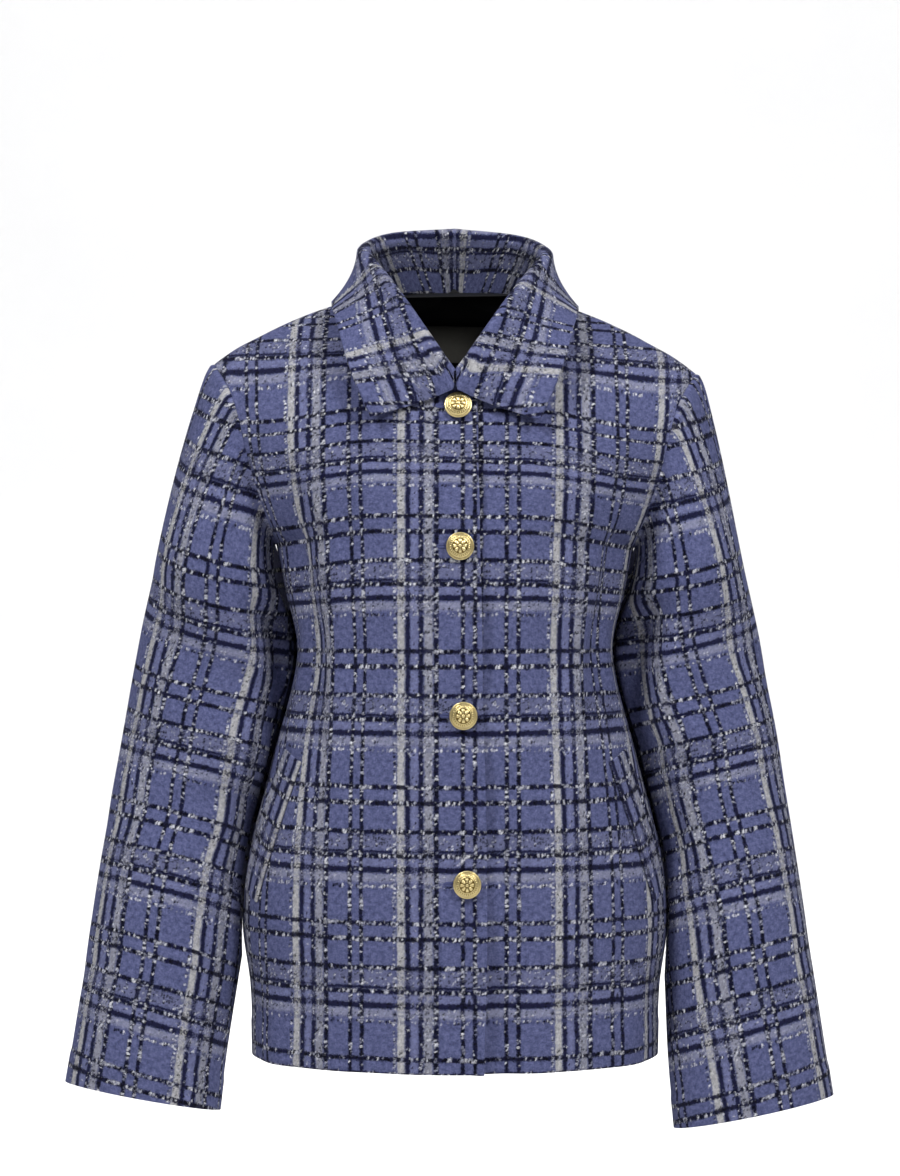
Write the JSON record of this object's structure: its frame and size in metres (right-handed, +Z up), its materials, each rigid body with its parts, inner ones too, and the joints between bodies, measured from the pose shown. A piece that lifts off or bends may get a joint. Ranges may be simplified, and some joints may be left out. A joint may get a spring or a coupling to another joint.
{
  "type": "boucle jacket",
  "caption": "Checked boucle wool jacket with a turned-down pointed collar, buttoned lapping fronts, slanting welt pockets and wide set-in sleeves, filled out as if worn.",
  "frame": {"origin": "middle line at the base of the neck, level with the shoulder ends of the collar seam, where the wearer's shoulders hold the jacket", "axes": "+Z up, -Y the way the front faces, +X towards the wearer's left"},
  "size_m": [0.6684, 0.2426, 0.7971],
  "materials": {
    "boucle": "brushed boucle wool, matt, woven check",
    "lining": "smooth black lining",
    "label": "woven, blank",
    "gold": "polished gold plate"
  },
  "bodies": {
    "root": {"front_right": "boucle", "front_left": "boucle", "back": "boucle", "sleeve_right": "boucle", "sleeve_left": "boucle", "collar": "boucle", "welt_right": "boucle", "welt_left": "boucle", "back_neck_lining": "lining", "label": "label", "button_1": "gold", "button_2": "gold", "button_3": "gold", "button_4": "gold"}
  },
  "joints": []
}
